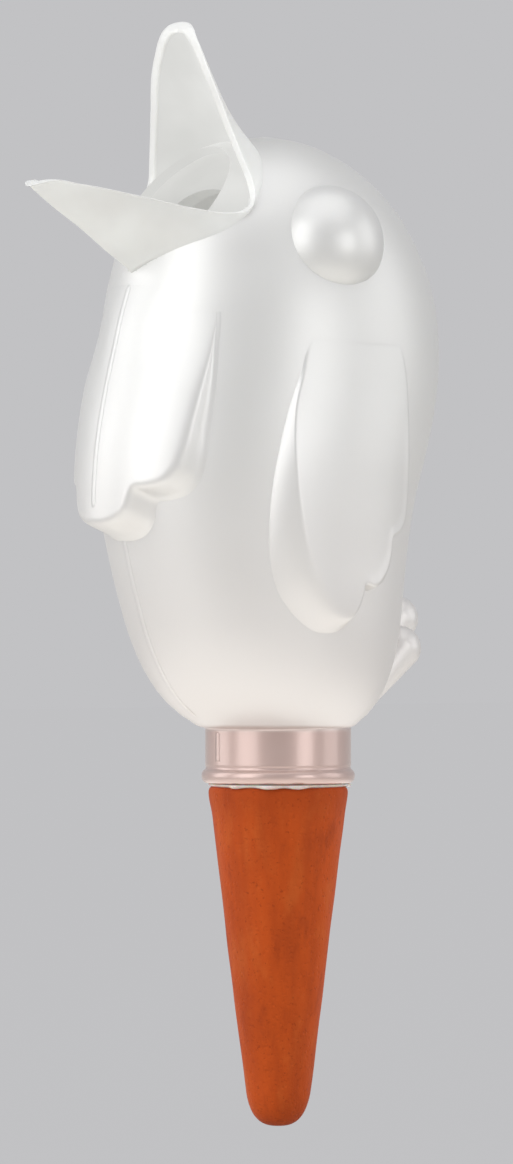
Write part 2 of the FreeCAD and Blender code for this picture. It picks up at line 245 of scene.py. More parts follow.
class Finish(Nodes):
    """A material round one principled shader."""

    def __init__(self, name, **shader):
        self.material = bpy.data.materials.new(name)
        self.material.use_nodes = True
        super().__init__(self.material.node_tree)
        sockets = {socket.replace("_", " "): value for socket, value in shader.items()}
        self.shader = self.node("ShaderNodeBsdfPrincipled", sockets=sockets)

    def feed(self, socket, signal):
        self.tree.links.new(signal.socket, self.shader.socket.node.inputs[socket])

    def done(self, surface=None):
        """The material, which shows its principled shader or another surface."""
        self.node("ShaderNodeOutputMaterial", sockets={"Surface": surface or self.shader})
        return self.material

    def place(self):
        return self.node("ShaderNodeTexCoord", output="Object")

    def axis(self, name):
        """One of X, Y and Z, in metres."""
        return self.node("ShaderNodeSeparateXYZ", sockets={0: self.place()}, output=name)

    def noise(self, scale, detail=2.0, rough=0.5, stretch=(1, 1, 1)):
        where = self.node("ShaderNodeMapping", sockets={"Vector": self.place(), "Scale": stretch})
        return self.node("ShaderNodeTexNoise",
                         sockets={"Vector": where, "Scale": scale, "Detail": detail,
                                  "Roughness": rough})

    def colours(self, share, low, high):
        """A colour between two, of which each is three values or a signal."""
        first, second, result = 6, 7, 2
        return self.node("ShaderNodeMix", {"data_type": "RGBA"},
                         {"Factor": share, first: low, second: high}, result)

    def bump(self, height, strength, distance):
        self.feed("Normal", self.node("ShaderNodeBump",
                                      sockets={"Height": height, "Strength": strength,
                                               "Distance": distance}))


PEARL = (0.80, 0.80, 0.788)
PEARL_COOL = (0.73, 0.73, 0.712)
PEARL_PINK = (0.80, 0.735, 0.715)
COLLAR_PINK = (0.60, 0.425, 0.38)


def pearl_finish():
    """Satin pearl plastic: soft glow, fine flakes and a warmer tone low down."""
    pearl = Finish("pearl_body", Subsurface_Weight=0.25, Subsurface_Scale=3 * MM,
                   Subsurface_Radius=(1.0, 0.95, 0.85), IOR=1.5, Coat_Roughness=0.16)
    height = pearl.axis("Z")
    low_down = 1 - height.clip(8 * MM, 100 * MM)
    collar = 1 - height.clip(12 * MM, 14.5 * MM)
    clouds = pearl.noise(22.0)
    flakes = pearl.noise(2600.0, 1.0)
    tone = pearl.colours(clouds.clip(0.3, 0.75) * 0.5, PEARL, PEARL_COOL)
    tone = pearl.colours(low_down * 0.42, tone, PEARL_PINK)
    tone = pearl.colours(collar * 0.9, tone, COLLAR_PINK)
    pearl.feed("Base Color", tone)
    pearl.feed("Roughness", 0.46 - collar * 0.12 + (flakes - 0.5) * 0.10 + (clouds - 0.5) * 0.06)
    pearl.feed("Coat Weight", 0.10 + collar * 0.55)
    pearl.feed("Metallic", 0.50 + (flakes - 0.5) * 0.20)
    pearl.bump(flakes * 0.4 + pearl.noise(420.0), 0.05, 0.3 * MM)
    return pearl.done()


# Base of the inner wall, kept dark as painted shade inside the hollow; its painted glow sets the
# tone
WALL_GREY, WALL_DARK = (0.16, 0.162, 0.156), (0.13, 0.132, 0.127)
# Painted glow of the inner wall, standing in for light through the thin plastic; the deep one is
# painted shade far down the throat
PAINTED_GLOW, PAINTED_GLOW_DIM, PAINTED_GLOW_DEEP = (0.60, 0.60, 0.585), (0.55, 0.55, 0.535), (0.48, 0.48, 0.465)


def inside_finish():
    """The inner wall: a dark base and an emission that paints the glow of light coming through the
    thin plastic, dimmer deep in the throat as painted shade.
    """
    inner = Finish("inner_wall", Roughness=0.5, Specular_IOR_Level=0.3, Emission_Strength=1.0)
    clouds = inner.noise(45.0, 3.0)
    inner.feed("Base Color", inner.colours(clouds.clip(0.3, 0.7), WALL_GREY, WALL_DARK))
    glow = inner.colours(clouds.clip(0.2, 0.8), PAINTED_GLOW, PAINTED_GLOW_DIM)
    # Painted light: the glow is full near the mouth, above these heights, and dimmer deeper in the
    # throat
    painted_mouth_light = inner.axis("Z").clip(132 * MM, 143 * MM)
    inner.feed("Emission Color", inner.colours(painted_mouth_light, PAINTED_GLOW_DEEP, glow))
    inner.bump(clouds, 0.1, 0.4 * MM)
    return inner.done()


BEAK_MILK = (0.80, 0.81, 0.79)


def beak_finish():
    """Milky, less pearly plastic of the beak, with a faint flow of the moulding and a painted glow
    for the light that comes through it.
    """
    milk = Finish("milky_beak", Subsurface_Weight=0.5, Subsurface_Scale=4 * MM,
                  Subsurface_Radius=(1.0, 0.97, 0.88), IOR=1.5, Coat_Weight=0.06,
                  Coat_Roughness=0.25, Emission_Strength=0.13)
    clouds = milk.noise(45.0, 3.0)
    grain = milk.noise(1500.0, 1.0)
    tone = milk.colours(clouds.clip(0.3, 0.7), BEAK_MILK, PEARL_COOL)
    milk.feed("Base Color", tone)
    # Painted glow: the beak's own tone as a faint emission, standing in for light through the milky
    # plastic
    milk.feed("Emission Color", tone)
    milk.feed("Roughness", 0.48 + (clouds - 0.5) * 0.12)
    milk.feed("Metallic", 0.20 + (grain - 0.5) * 0.05)
    milk.bump(milk.noise(300.0), 0.05, 0.3 * MM)
    return milk.done()


CLAY = (0.61, 0.089, 0.008)
CLAY_DARK = (0.36, 0.047, 0.005)
CLAY_PALE = (0.72, 0.165, 0.028)


def clay_finish():
    """Unglazed fired clay: up and down streaks, dark mottles, pale dust, fine pores and painted
    shade under the collar.
    """
    clay = Finish("terracotta", Specular_IOR_Level=0.25, Sheen_Weight=0.08)
    streaks = clay.noise(55.0, 4.0, 0.6, (1, 1, 0.12))
    mottles = clay.noise(130.0, 5.0, 0.66, (1, 1, 0.4))
    specks = clay.noise(900.0, 2.0, 0.7)
    pores = clay.node("ShaderNodeTexVoronoi", {"feature": "F1"},
                      {"Vector": clay.place(), "Scale": 700.0})
    tone = clay.colours(streaks.clip(0.40, 0.66) * 0.65, CLAY, CLAY_DARK)
    tone = clay.colours(mottles.clip(0.50, 0.70) * 0.6, tone, CLAY_DARK)
    tone = clay.colours(mottles.clip(0.50, 0.30) * 0.30, tone, CLAY_PALE)
    tone = clay.colours(specks.clip(0.60, 0.72) * 0.7, tone, CLAY_DARK)
    # Painted shade: the clay darkens towards its top, where the collar and the sealant lip hang
    # over it
    shoulder = clay.axis("Z").clip(-12 * MM, -1 * MM)
    clay.feed("Base Color", clay.colours(shoulder * 0.35, tone, CLAY_DARK))
    clay.feed("Roughness", 0.86 + (specks - 0.5) * 0.12)
    clay.bump(specks * 0.6 + mottles * 0.8 + pores.clip(0.35, 0.1) * -0.5, 0.35, 0.5 * MM)
    return clay.done()


SEALANT, SEALANT_WARM = (0.86, 0.80, 0.75), (0.78, 0.64, 0.56)


def sealant_finish():
    """Milky sealant, glossy, with the clay's tone showing through."""
    seal = Finish("clear_sealant", Subsurface_Weight=0.6, Subsurface_Scale=2 * MM,
                  Coat_Weight=0.6, Coat_Roughness=0.05, IOR=1.42)
    clouds = seal.noise(350.0)
    seal.feed("Base Color", seal.colours(clouds.clip(0.3, 0.7), SEALANT, SEALANT_WARM))
    seal.feed("Roughness", 0.16 + clouds * 0.12)
    seal.bump(clouds, 0.2, 0.4 * MM)
    return seal.done()


pearl_body = pearl_finish()
milky_beak = beak_finish()
inner_wall = inside_finish()
terracotta = clay_finish()
clear_sealant = sealant_finish()

# Body
# Height, forward place of the middle, half depth and half width of the body, in mm
BODY = (
    (13.3, 0.4, 17.6, 17.5), (13.7, 0.6, 18.9, 18.2), (15.0, 0.9, 20.9, 19.6),
    (17.2, 1.4, 24.0, 21.8), (19.9, 1.9, 26.6, 23.6), (25.0, 2.7, 29.8, 26.2),
    (34.3, 3.9, 33.4, 29.0), (43.9, 5.0, 35.5, 30.6), (55.9, 6.0, 37.7, 32.0),
    (67.9, 6.2, 39.8, 33.6), (79.9, 5.1, 41.9, 35.2), (91.9, 3.6, 42.9, 36.2),
    (105.1, 2.5, 42.5, 36.4), (115.9, 2.4, 41.1, 35.4), (125.0, 2.8, 38.6, 33.4),
    (130.6, 3.6, 36.6, 31.8), (136.6, 4.4, 33.6, 29.3), (141.8, 5.1, 29.6, 26.0),
    (145.8, 5.4, 25.4, 22.4), (150.2, 5.5, 18.6, 16.5), (153.4, 5.4, 10.6, 9.5),
    (154.8, 5.4, 0.0, 0.0),
)
BODY_FOOT, BODY_TOP, CROWN = BODY[0][0], BODY[-1][0], BODY[-1][1]
WALL = 2.0
# The wall's slope is measured over this height on either side
SLOPE_REACH = 0.4
# Where the half depth is less than this, nothing counts as inside the head
CROWN_CAP = 0.5
body_line = bend([(height, middle, depth**2, width**2) for height, middle, depth, width in BODY])


def body_oval(height):
    """Middle, half depth and half width of the body at a height."""
    middle, depth_squared, width_squared = body_line(height)
    return middle, sqrt(max(depth_squared, 0.0)), sqrt(max(width_squared, 0.0))


def front_of(height, side):
    """How far forward the belly reaches there."""
    middle, depth, width = body_oval(height)
    return middle + depth * sqrt(max(0.0, 1 - (side / width) ** 2))


def flank_of(height, forward):
    """How far to the side the flank reaches there."""
    middle, depth, width = body_oval(height)
    return width * sqrt(max(0.0, 1 - ((forward - middle) / depth) ** 2))


def depth_slope(height, reach):
    """How fast the body's half depth grows with height."""
    low, high = body_oval(height - reach), body_oval(height + reach)
    return (high[1] - low[1]) / (2 * reach)


# Turned rows of the collar: radius and height, from the bore's top down and up outside
COLLAR_BORE = ((15.9, 15.2), (15.9, 15.0), (15.9, 0.25), (15.95, 0.08), (16.1, 0.0))
COLLAR_OUTSIDE = (
    (17.2, 0.0), (17.5, 0.06), (17.85, 0.28), (18.12, 0.62), (18.3, 1.05), (18.4, 1.6),
    (18.38, 2.15), (18.24, 2.6), (18.0, 2.95), (17.74, 3.18), (17.54, 3.35), (17.42, 3.6),
    (17.4, 3.9), (17.44, 4.15), (17.5, 4.35), (17.5, 4.6), (17.5, 6.5), (17.5, 9.0),
    (17.5, 11.5), (17.5, 12.7), (17.5, 13.1),
)
COLLAR_RADIUS, COLLAR_TOP = COLLAR_OUTSIDE[-1]
# Levels of the body crowd towards its crown, and more of them follow the turn into the collar
BODY_LEVELS, CROWN_CROWD = 96, 0.93
TURN_LEVELS = (13.45, 13.6, 13.8, 14.1, 14.5, 15.0)
# The inner wall starts at this level and takes every second one
INNER_START = 8


def body_rows():
    """Every level row of the hollow body, from the inner top down and back up outside."""
    heights = {BODY_FOOT + (BODY_TOP - BODY_FOOT) * sin(share**CROWN_CROWD * pi / 2)
               for share in spread(0.0, 1.0, BODY_LEVELS)}
    outside = [(height, *body_oval(height)) for height in sorted(heights | set(TURN_LEVELS))]
    inside = [(BODY_TOP - WALL, CROWN, 0.0, 0.0)]
    for height, middle, depth, width in outside[INNER_START::2][::-1]:
        slope = depth_slope(height, SLOPE_REACH)
        inset = WALL / hypot(1, slope)
        if depth > inset and width > inset:
            inside.append((height + slope * inset, middle, depth - inset, width - inset))
    bore = [(height, 0.0, radius, radius) for radius, height in COLLAR_BORE]
    collar = [(height, 0.0, radius, radius) for radius, height in COLLAR_OUTSIDE]
    return inside + bore + collar + outside


# Beak: a round tube that parts into two horns along the mouth line
# Where its axis starts, forward and up, and its tilt
BEAK_FORWARD, BEAK_HEIGHT, BEAK_TILT = 28.0, 137.2, radians(45)
# Place along the axis, shift of the tube's middle and its radius
upper_horn = bend([(-12, 0, 21.9), (0, 0.3, 22.6), (12, 2.4, 21.8), (22, 9.5, 18.2),
                   (28.5, 17.5, 13.2), (33, 23.5, 9.0), (36, 27.6, 6.0)])
lower_horn = bend([(-12, 0, 21.5), (0, 0.5, 21.2), (8, -3.6, 18.6), (17, -8.6, 15.0),
                   (27, -14.6, 11.1), (36, -20.2, 6.8), (39, -22.0, 5.4)])
# Along and across the axis, from past the upper tip to past the lower one
mouth_line = path([(33.2, 36.0), (31.8, 33.2), (31.0, 30.5), (26.0, 25.5), (15.5, 18.3),
                   (6.0, 12.2), (0.6, 8.6), (-1.8, 5.9), (-2.7, 3.2), (-2.2, 0.8),
                   (-0.2, -1.7), (5.4, -5.9), (16.1, -12.6), (28.2, -20.5), (32.9, -24.0),
                   (33.9, -26.2), (34.2, -30.0)])
# The beak widens at the corners of the mouth: share, place along the axis and reach in mm
CHEEK, CHEEK_MIDDLE, CHEEK_REACH = 0.07, -2.5, 5.5
# The lower half narrows to a keel between these places along the axis
KEEL_POWER, KEEL_START, KEEL_FULL = 0.9, -14.0, 2.0
# The two horns blend into each other between these turns from the top
HORN_BLEND = (radians(78), radians(102))
# The skin that the beak covers lies between these places along the axis
BEAK_COVER = (-10.0, 20.0)
# How often a turn on the beak is worked out again, for the body's skin and for the lip
SKIN_TRIES, LIP_TRIES = 6, 12
# The throat is opened by a cylinder: radius, length and place of its middle along the axis
THROAT_RADIUS, THROAT_LENGTH, THROAT_MIDDLE = 17.2, 54.0, 18.0
THROAT_COLUMNS, BODY_COLUMNS = 120, 208


def beak_point(along, across, side):
    """Side, forward and height of a place given along and across the beak's axis."""
    return (side, BEAK_FORWARD + along * cos(BEAK_TILT) - across * sin(BEAK_TILT),
            BEAK_HEIGHT + along * sin(BEAK_TILT) + across * cos(BEAK_TILT))


def beak_round(along, turn):
    """Shift of the middle and radius of the beak, blended from the upper to the lower horn."""
    share = ease(*HORN_BLEND, turn)
    return mix(upper_horn(along), lower_horn(along), share)


def wall_point(along, turn, wall):
    """A place on the beak, so far under its outside, at a turn from the top round the side."""
    middle, radius = beak_round(along, turn)
    radius -= wall
    wide = 1 + CHEEK * exp(-((along - CHEEK_MIDDLE) / CHEEK_REACH) ** 2)
    if turn > pi / 2:
        wide *= max(sin(turn), 0.0) ** (KEEL_POWER * ease(KEEL_START, KEEL_FULL, along))
    return beak_point(along, middle + radius * cos(turn), radius * wide * sin(turn))


def in_beak(spot):
    """Whether a place, given as side, forward and height, lies within the beak's wall."""
    side, forward, height = spot
    forward, height = forward - BEAK_FORWARD, height - BEAK_HEIGHT
    along = forward * cos(BEAK_TILT) + height * sin(BEAK_TILT)
    across = height * cos(BEAK_TILT) - forward * sin(BEAK_TILT)
    if not BEAK_COVER[0] < along < BEAK_COVER[1]:
        return False
    turn = pi / 2
    for _ in range(SKIN_TRIES):
        middle, radius = beak_round(along, turn)
        if abs(across - middle) >= radius:
            return False
        turn = acos((across - middle) / radius)
    return abs(side) < wall_point(along, turn, WALL / 2)[0]


def depth_in_head(spot):
    """How far a spot lies inside the body, square to its wall."""
    side, forward, height = spot
    if height >= BODY_TOP:
        return -1.0
    middle, depth, width = body_oval(height)
    if depth < CROWN_CAP:
        return -1.0
    level = (1 - hypot((forward - middle) / depth, side / width)) * min(depth, width)
    return level / hypot(1, depth_slope(height, SLOPE_REACH / 2))


def lathe(columns, rows, inner=(0, 0)):
    """A turned form from level rows of height, middle, half depth and half width."""
    def place(across, along):
        height, middle, depth, width = rows[round(along * (len(rows) - 1))]
        turn = 2 * pi * across
        return width * sin(turn), middle + depth * cos(turn), height
    return grid_mesh(columns, len(rows) - 1, place, inner)


def throat_tool():
    """The cylinder that opens the body where the beak's throat enters."""
    bm = bmesh.new()
    bmesh.ops.create_cone(bm, cap_ends=True, segments=THROAT_COLUMNS, depth=THROAT_LENGTH * MM,
                          radius1=THROAT_RADIUS * MM, radius2=THROAT_RADIUS * MM)
    side, forward, height = beak_point(THROAT_MIDDLE, 0.0, 0.0)
    place = Matrix.Translation(Vector((side, -forward, height)) * MM)
    bmesh.ops.transform(bm, matrix=place @ Matrix.Rotation(BEAK_TILT, 4, "X"), verts=bm.verts)
    return in_scene("throat_tool", as_mesh("throat_tool", bm))


def make_body():
    """The hollow body and its collar, opened at the throat."""
    rows = body_rows()
    bore = [row[0] for row in rows].index(COLLAR_BORE[0][1])
    shell = piece("body_shell", lathe(BODY_COLUMNS, rows, (0, bore)), pearl_body,
                  ("left_shell", "right_shell"), inner_wall)
    tool = throat_tool()
    cut = shell.modifiers.new("throat", "BOOLEAN")
    cut.operation = "DIFFERENCE"
    cut.solver = "EXACT"
    cut.object = tool
    graph = bpy.context.evaluated_depsgraph_get()
    opened = bpy.data.meshes.new_from_object(shell.evaluated_get(graph))
    shell.modifiers.clear()
    shell.data = opened
    bpy.data.objects.remove(tool)
    # the skin round the throat, inside the beak, is seen as its inner wall, with that wall's
    # painted glow
    for face in opened.polygons:
        side, back, height = face.center / MM
        if in_beak((side, -back, height)):
            face.material_index = 1


# Rows over the lip: share of the way from the outer to the inner wall, height in mm
LIP_ROWS = ((0.0, 0.0), (-0.08, 0.04), (-0.13, 0.14), (-0.11, 0.25), (-0.02, 0.34), (0.14, 0.38),
            (0.30, 0.38), (0.42, 0.40), (0.52, 0.43), (0.63, 0.44), (0.77, 0.39),
            (0.91, 0.25), (0.98, 0.11), (1.0, 0.0))
# The lip's bulge grows by this many times between two shares of its length, and it fades away
# over the last share at either end
LIP_FLARE, LIP_FLARE_START, LIP_FLARE_FULL, LIP_END = 1.9, 0.30, 0.48, 0.06
# Share of the mouth line on either side over which its direction is measured
LIP_NEAR = 0.004
# Rows up each of the beak's walls, the row under the lip inside, and all rows of the closed strip
BEAK_COLUMNS, BEAK_ROWS = 170, 34
LIP_INSIDE = BEAK_ROWS + len(LIP_ROWS) - 1
STRIP_ROWS = LIP_INSIDE + BEAK_ROWS + 1
# The mouth line meets either tip within this share of its length
TIP_SHARE = 0.3
# Powers by which columns crowd at the tips, where the lip turns tightly, and rows at the lip
TIP_CROWD, OUTER_CROWD, INNER_CROWD = 0.94, 0.8, 1.25
# How deep the two walls reach into the body's wall, and where along the axis that is looked for
OUTER_SUNK, INNER_SUNK = 1.0, 0.5
ROOT_START, ROOT_END = -11.0, 8.0


def lip_ends(wall):
    """Shares of the mouth line at which it crosses the top and the bottom of a wall."""
    def under_top(share):
        along, across = mouth_line(share)
        middle, radius = upper_horn(along)
        return middle + radius - wall - across

    def under_bottom(share):
        along, across = mouth_line(share)
        middle, radius = lower_horn(along)
        return middle - radius + wall - across

    return solve(under_top, 0.0, TIP_SHARE), solve(under_bottom, 1 - TIP_SHARE, 1.0)


LIP_ENDS = {wall: lip_ends(wall) for wall in (0.0, WALL)}


@cache
def lip_edge(share, wall):
    """Place along the axis and turn of the lip's edge on a wall."""
    first, last = LIP_ENDS[wall]
    along, across = mouth_line(max(first, min(last, share)))
    if share <= first:
        return along, 0.0
    if share >= last:
        return along, pi
    turn = pi / 2
    for _ in range(LIP_TRIES):
        middle, radius = beak_round(along, turn)
        turn = acos(max(-1.0, min(1.0, (across - middle) / (radius - wall))))
    return along, turn


@cache
def beak_root(turn, wall, sunk):
    """Place along the axis where a wall of the beak is sunk that deep in the body."""
    return solve(lambda along: sunk - depth_in_head(wall_point(along, turn, wall)),
                 ROOT_START, ROOT_END)


def beak_strip(across, row):
    """A place on the strip that runs up the outer wall, over the lip and down the inner one."""
    first, last = LIP_ENDS[0.0]
    share = first + (last - first) * (0.5 - 0.5 * cos(pi * across)) ** TIP_CROWD
    outer_along, outer_turn = lip_edge(share, 0.0)
    inner_along, inner_turn = lip_edge(share, WALL)
    if row <= BEAK_ROWS:
        start = beak_root(outer_turn, 0.0, OUTER_SUNK)
        step = (row / BEAK_ROWS) ** OUTER_CROWD
        return wall_point(start + (outer_along - start) * step, outer_turn, 0.0)
    if row >= LIP_INSIDE:
        start = beak_root(inner_turn, WALL, INNER_SUNK)
        step = ((row - LIP_INSIDE) / BEAK_ROWS) ** INNER_CROWD
        return wall_point(inner_along + (start - inner_along) * step, inner_turn, WALL)
    inward, height = LIP_ROWS[row - BEAK_ROWS]
    if inward < 0:
        inward *= 1 + LIP_FLARE * ease(LIP_FLARE_START, LIP_FLARE_FULL, across)
        inward *= ease(0.0, LIP_END, min(across, 1 - across))
    outer = wall_point(outer_along, outer_turn, 0.0)
    inner = wall_point(inner_along, inner_turn, WALL)
    up = square_to(mouth_line(min(1.0, share + LIP_NEAR)), mouth_line(max(0.0, share - LIP_NEAR)))
    lift = [(a - b) * height for a, b in zip(beak_point(*up, 0.0), beak_point(0.0, 0.0, 0.0))]
    return [a + b for a, b in zip(mix(outer, inner, inward), lift)]


def make_beak():
    """The open beak: outer wall, rounded lip and inner wall as one closed form."""
    def place(across, along):
        side, forward, height = beak_strip(across, round(along * STRIP_ROWS) % STRIP_ROWS)
        return 0.0 if across in (0.0, 1.0) else side, forward, height

    half = grid_mesh(BEAK_COLUMNS, STRIP_ROWS, place, (LIP_INSIDE, STRIP_ROWS))
    piece("beak", mirrored(half), milky_beak, inner=inner_wall)


# Chest feathers
# Half of the outline: side and height, from the top down to the middle of the hem
BIB = ((0.0, 123.0), (9.0, 122.6), (17.0, 121.0), (21.6, 118.0), (23.5, 113.0), (24.1, 105.0),
       (24.3, 96.7), (23.6, 85.9), (22.6, 77.5), (21.3, 72.9), (18.9, 69.8), (15.8, 68.7),
       (13.6, 68.4), (12.5, 68.2), (11.9, 67.4), (11.2, 65.4), (10.2, 62.8), (8.0, 60.4),
       (4.4, 59.1), (0.0, 58.8))
bib_line = path(BIB)
bib_out = bend([(55.0, 9.0), (58.8, 8.5), (62.0, 8.0), (68.0, 7.0), (77.5, 5.5), (88.0, 4.1),
                (100.0, 2.5), (111.0, 1.1), (117.0, 0.2), (120.0, -0.06), (123.0, -0.1)])
# The upper corners sink into the body between these heights and sides, by this much
BIB_CORNER_HEIGHTS, BIB_CORNER_SIDES, BIB_CORNER_SUNK = (94.0, 116.0), (3.0, 18.5), 0.06
# The plate rises by this much for each mm that its edge stands out
BIB_HEM_SLOPE = 0.41
# Height of the point that the rows of the face close on
BIB_MIDDLE = 92.0
# Steps up the wall: share of the stand-out, inset in mm
BIB_WALL = ((-0.25, -0.9), (-0.02, -0.8), (0.03, -0.45), (0.10, -0.15), (0.2, 0.0), (0.45, 0.0),
            (0.7, 0.0), (0.82, 0.03), (0.90, 0.16), (0.955, 0.42), (0.985, 0.80), (1.0, 1.35))
# The inset fades out from this height to the top
BIB_INSET_TOP = 112.0
# The first row lies this deep in the belly
BIB_SUNK = 0.6
BIB_COLUMNS, BIB_FACE_ROWS, BIB_CROWD = 300, 26, 1.15
# Share of the outline on either side over which its direction is measured
BIB_NEAR = 0.0015


def bib_stand(height, side):
    """How far the bib stands out; its upper corners sink into the body."""
    corner = ease(*BIB_CORNER_HEIGHTS, height) * ease(*BIB_CORNER_SIDES, abs(side))
    return bib_out(height) * (1 - corner) - BIB_CORNER_SUNK * corner


def bib_edge(across):
    """Side and height of the outline, from its top all the way round."""
    across %= 1.0
    side, height = bib_line(min(across, 1 - across) * 2)
    return (side if across <= 0.5 else -side), height


def make_bib():
    """Feathered chest plate: it stands out from the belly and ends in three lobes."""
    wall_rows, top = len(BIB_WALL), BIB[0][1]

    def place(across, along):
        row = round(along * (wall_rows + BIB_FACE_ROWS - 1))
        side, height = bib_edge(across)
        share, inset = BIB_WALL[min(row, wall_rows - 1)]
        inset *= min(1.0, (top - height) / (top - BIB_INSET_TOP))
        inward = square_to(bib_edge(across - BIB_NEAR), bib_edge(across + BIB_NEAR))
        side += inward[0] * inset
        height += inward[1] * inset
        step = (max(0, row - wall_rows + 1) / BIB_FACE_ROWS) ** BIB_CROWD
        side *= 1 - step
        height += (BIB_MIDDLE - height) * step
        height += BIB_HEM_SLOPE * bib_stand(height, side) * share * (1 - step)
        stand = bib_stand(height, side)
        lift = stand * share if stand > 0 else stand
        sunk = BIB_SUNK if row == 0 else 0.0
        return side, front_of(height, side) + lift - sunk, height

    bm = grid_mesh(BIB_COLUMNS, wall_rows + BIB_FACE_ROWS - 1, place)
    fill_holes(bm)
    piece("chest_feathers", bm, pearl_body)


# Wings
# Forward and height of the outer edge, then of the edge of the face, front edge first
WING = (
    (0.0, 113.0, 0.0, 111.0), (7.0, 112.8, 6.6, 110.8), (12.0, 110.5, 11.6, 109.0),
    (14.8, 105.1, 14.3, 104.2), (16.9, 97.9, 16.4, 97.6), (19.3, 90.7, 18.4, 91.0),
    (21.2, 82.3, 19.2, 82.8), (22.5, 72.7, 18.7, 73.7), (22.7, 63.1, 17.2, 64.8),
    (21.7, 53.5, 14.7, 56.0), (18.7, 43.9, 11.4, 49.0), (14.6, 38.8, 8.2, 44.6),
    (9.6, 36.0, 5.2, 41.6), (5.2, 35.7, 2.7, 40.5), (1.8, 36.9, 0.9, 40.3),
    (-0.6, 39.3, -0.5, 41.4), (-2.0, 42.3, -1.6, 43.4), (-2.9, 45.3, -2.4, 46.0),
    (-3.4, 47.2, -2.8, 47.8), (-4.3, 46.8, -4.0, 47.9), (-5.8, 46.4, -5.6, 47.4),
    (-7.8, 47.0, -7.5, 47.9), (-10.1, 49.1, -9.6, 49.8), (-11.8, 52.2, -11.1, 52.5),
    (-12.5, 55.3, -11.8, 55.5), (-12.6, 57.6, -11.9, 58.0), (-12.9, 58.7, -12.3, 59.3),
    (-14.0, 58.9, -13.7, 59.8), (-16.3, 60.2, -15.8, 61.0), (-17.9, 62.4, -17.2, 62.8),
    (-18.4, 66.0, -17.6, 66.2), (-17.9, 72.7, -17.1, 72.8), (-17.0, 80.0, -16.3, 80.0),
    (-15.8, 90.0, -15.3, 90.0), (-14.0, 100.0, -13.7, 99.8), (-10.5, 108.0, -10.3, 107.0),
    (-5.5, 112.0, -5.4, 110.4), (0.0, 113.0, 0.0, 111.0),
)
wing_line = path(WING)
# Share of the full stand-out at each height
wing_share = bend([(20.0, 1.0), (56.0, 1.0), (67.0, 0.82), (80.0, 0.52), (90.0, 0.25),
                   (98.0, 0.08), (104.0, 0.016), (110.0, 0.0), (125.0, 0.0)])
WING_OUT = 3.3
# The flank's form moves forward by this much along the wing, which flattens its front
wing_shift = bend([(-30.0, 1.2), (-18.0, 1.2), (6.0, 3.8), (20.0, 7.6), (30.0, 8.0)])
# The trailing edge has a fine raised rim, which ends between these places and heights
WING_RIM, WING_RIM_FRONT, WING_RIM_TOP = 0.35, (-6.0, -2.0), (72.0, 90.0)
# Share of the way across the face over which the rim falls off
WING_RIM_WIDTH = 0.12
# The root sinks this deep into the shoulder between these heights
WING_FADE, WING_FADE_HEIGHTS = 0.04, (88.0, 110.0)
# Low down in front the roll runs out softly into the belly, between these heights and places
ROLL_HEIGHTS, ROLL_PLACES, ROLL_SUNK = (38.0, 62.0), (-3.0, 3.0), 0.05
# Forward and height of the point that the rows of the face close on
WING_MIDDLE = (2.0, 76.0)
# The first row lies this deep in the flank, and the roll dips at most this far under it
WING_SUNK, WING_UNDER = 1.2, 0.3
WING_COLUMNS, WING_EDGE_ROWS, WING_FACE_ROWS = 340, 14, 24
# Powers by which rows crowd on the edge and on the face, and by which the edge climbs
EDGE_CROWD, FACE_CROWD, EDGE_CLIMB = 1.3, 1.1, 0.8


def wing_side(forward, height):
    """The wing's face: the flank moved out and forward."""
    share = wing_share(height)
    return flank_of(height, forward - wing_shift(forward) * share) + WING_OUT * share


def wing_fade(height):
    """How far the wing's root sinks into the shoulder."""
    return WING_FADE * ease(*WING_FADE_HEIGHTS, height)


def wing_rim(forward, height):
    """Height of the rim, which only the scallops behind have."""
    return WING_RIM * (1 - ease(*WING_RIM_FRONT, forward)) * (1 - ease(*WING_RIM_TOP, height))


def make_wings():
    """Wings: a soft roll along the front and a crisp scalloped edge behind."""
    def place(across, along):
        row = round(along * (WING_EDGE_ROWS + WING_FACE_ROWS))
        edge, face = wing_line(across)[:2], wing_line(across)[2:]
        if row > WING_EDGE_ROWS:
            step = ((row - WING_EDGE_ROWS) / WING_FACE_ROWS) ** FACE_CROWD
            forward, height = mix(face, WING_MIDDLE, step)
            rim = wing_rim(*face) * (1 - ease(0.0, WING_RIM_WIDTH, step))
            return wing_side(forward, height) + rim - wing_fade(height), forward, height
        step = (max(row - 1, 0) / (WING_EDGE_ROWS - 1)) ** EDGE_CROWD
        forward, height = mix(edge, face, step)
        skin = flank_of(height, forward)
        soft = (1 - ease(*ROLL_HEIGHTS, height)) * ease(*ROLL_PLACES, forward)
        crisp_climb, soft_climb = step**EDGE_CLIMB, ease(0.0, 1.0, step) - ROLL_SUNK
        climb = crisp_climb + (soft_climb - crisp_climb) * soft
        out = wing_side(forward, height) - skin + wing_rim(forward, height)
        sunk = WING_SUNK if row == 0 else 0.0
        rise = max(out, -WING_UNDER) * climb
        return skin + rise - sunk - wing_fade(height), forward, height

    bm = grid_mesh(WING_COLUMNS, WING_EDGE_ROWS + WING_FACE_ROWS, place)
    bmesh.ops.remove_doubles(bm, verts=bm.verts, dist=WELD * MM)
    fill_holes(bm)
    piece("wings", mirrored(bm), pearl_body)


# Eyes
EYE_MIDDLE = Vector((24.8, 3.2, 129.0))
EYE_LOOK = Vector((5.9, 1.4, 3.4)).normalized()
EYE_RADIUS = 13.98
EYE_COLUMNS, EYE_RINGS, EYE_EDGE = 72, 31, radians(84)
# Inside the head the dome ends on a flat foot: radius and height of its two rows
EYE_FOOT = ((9.0, 1.0), (0.0, 1.0))


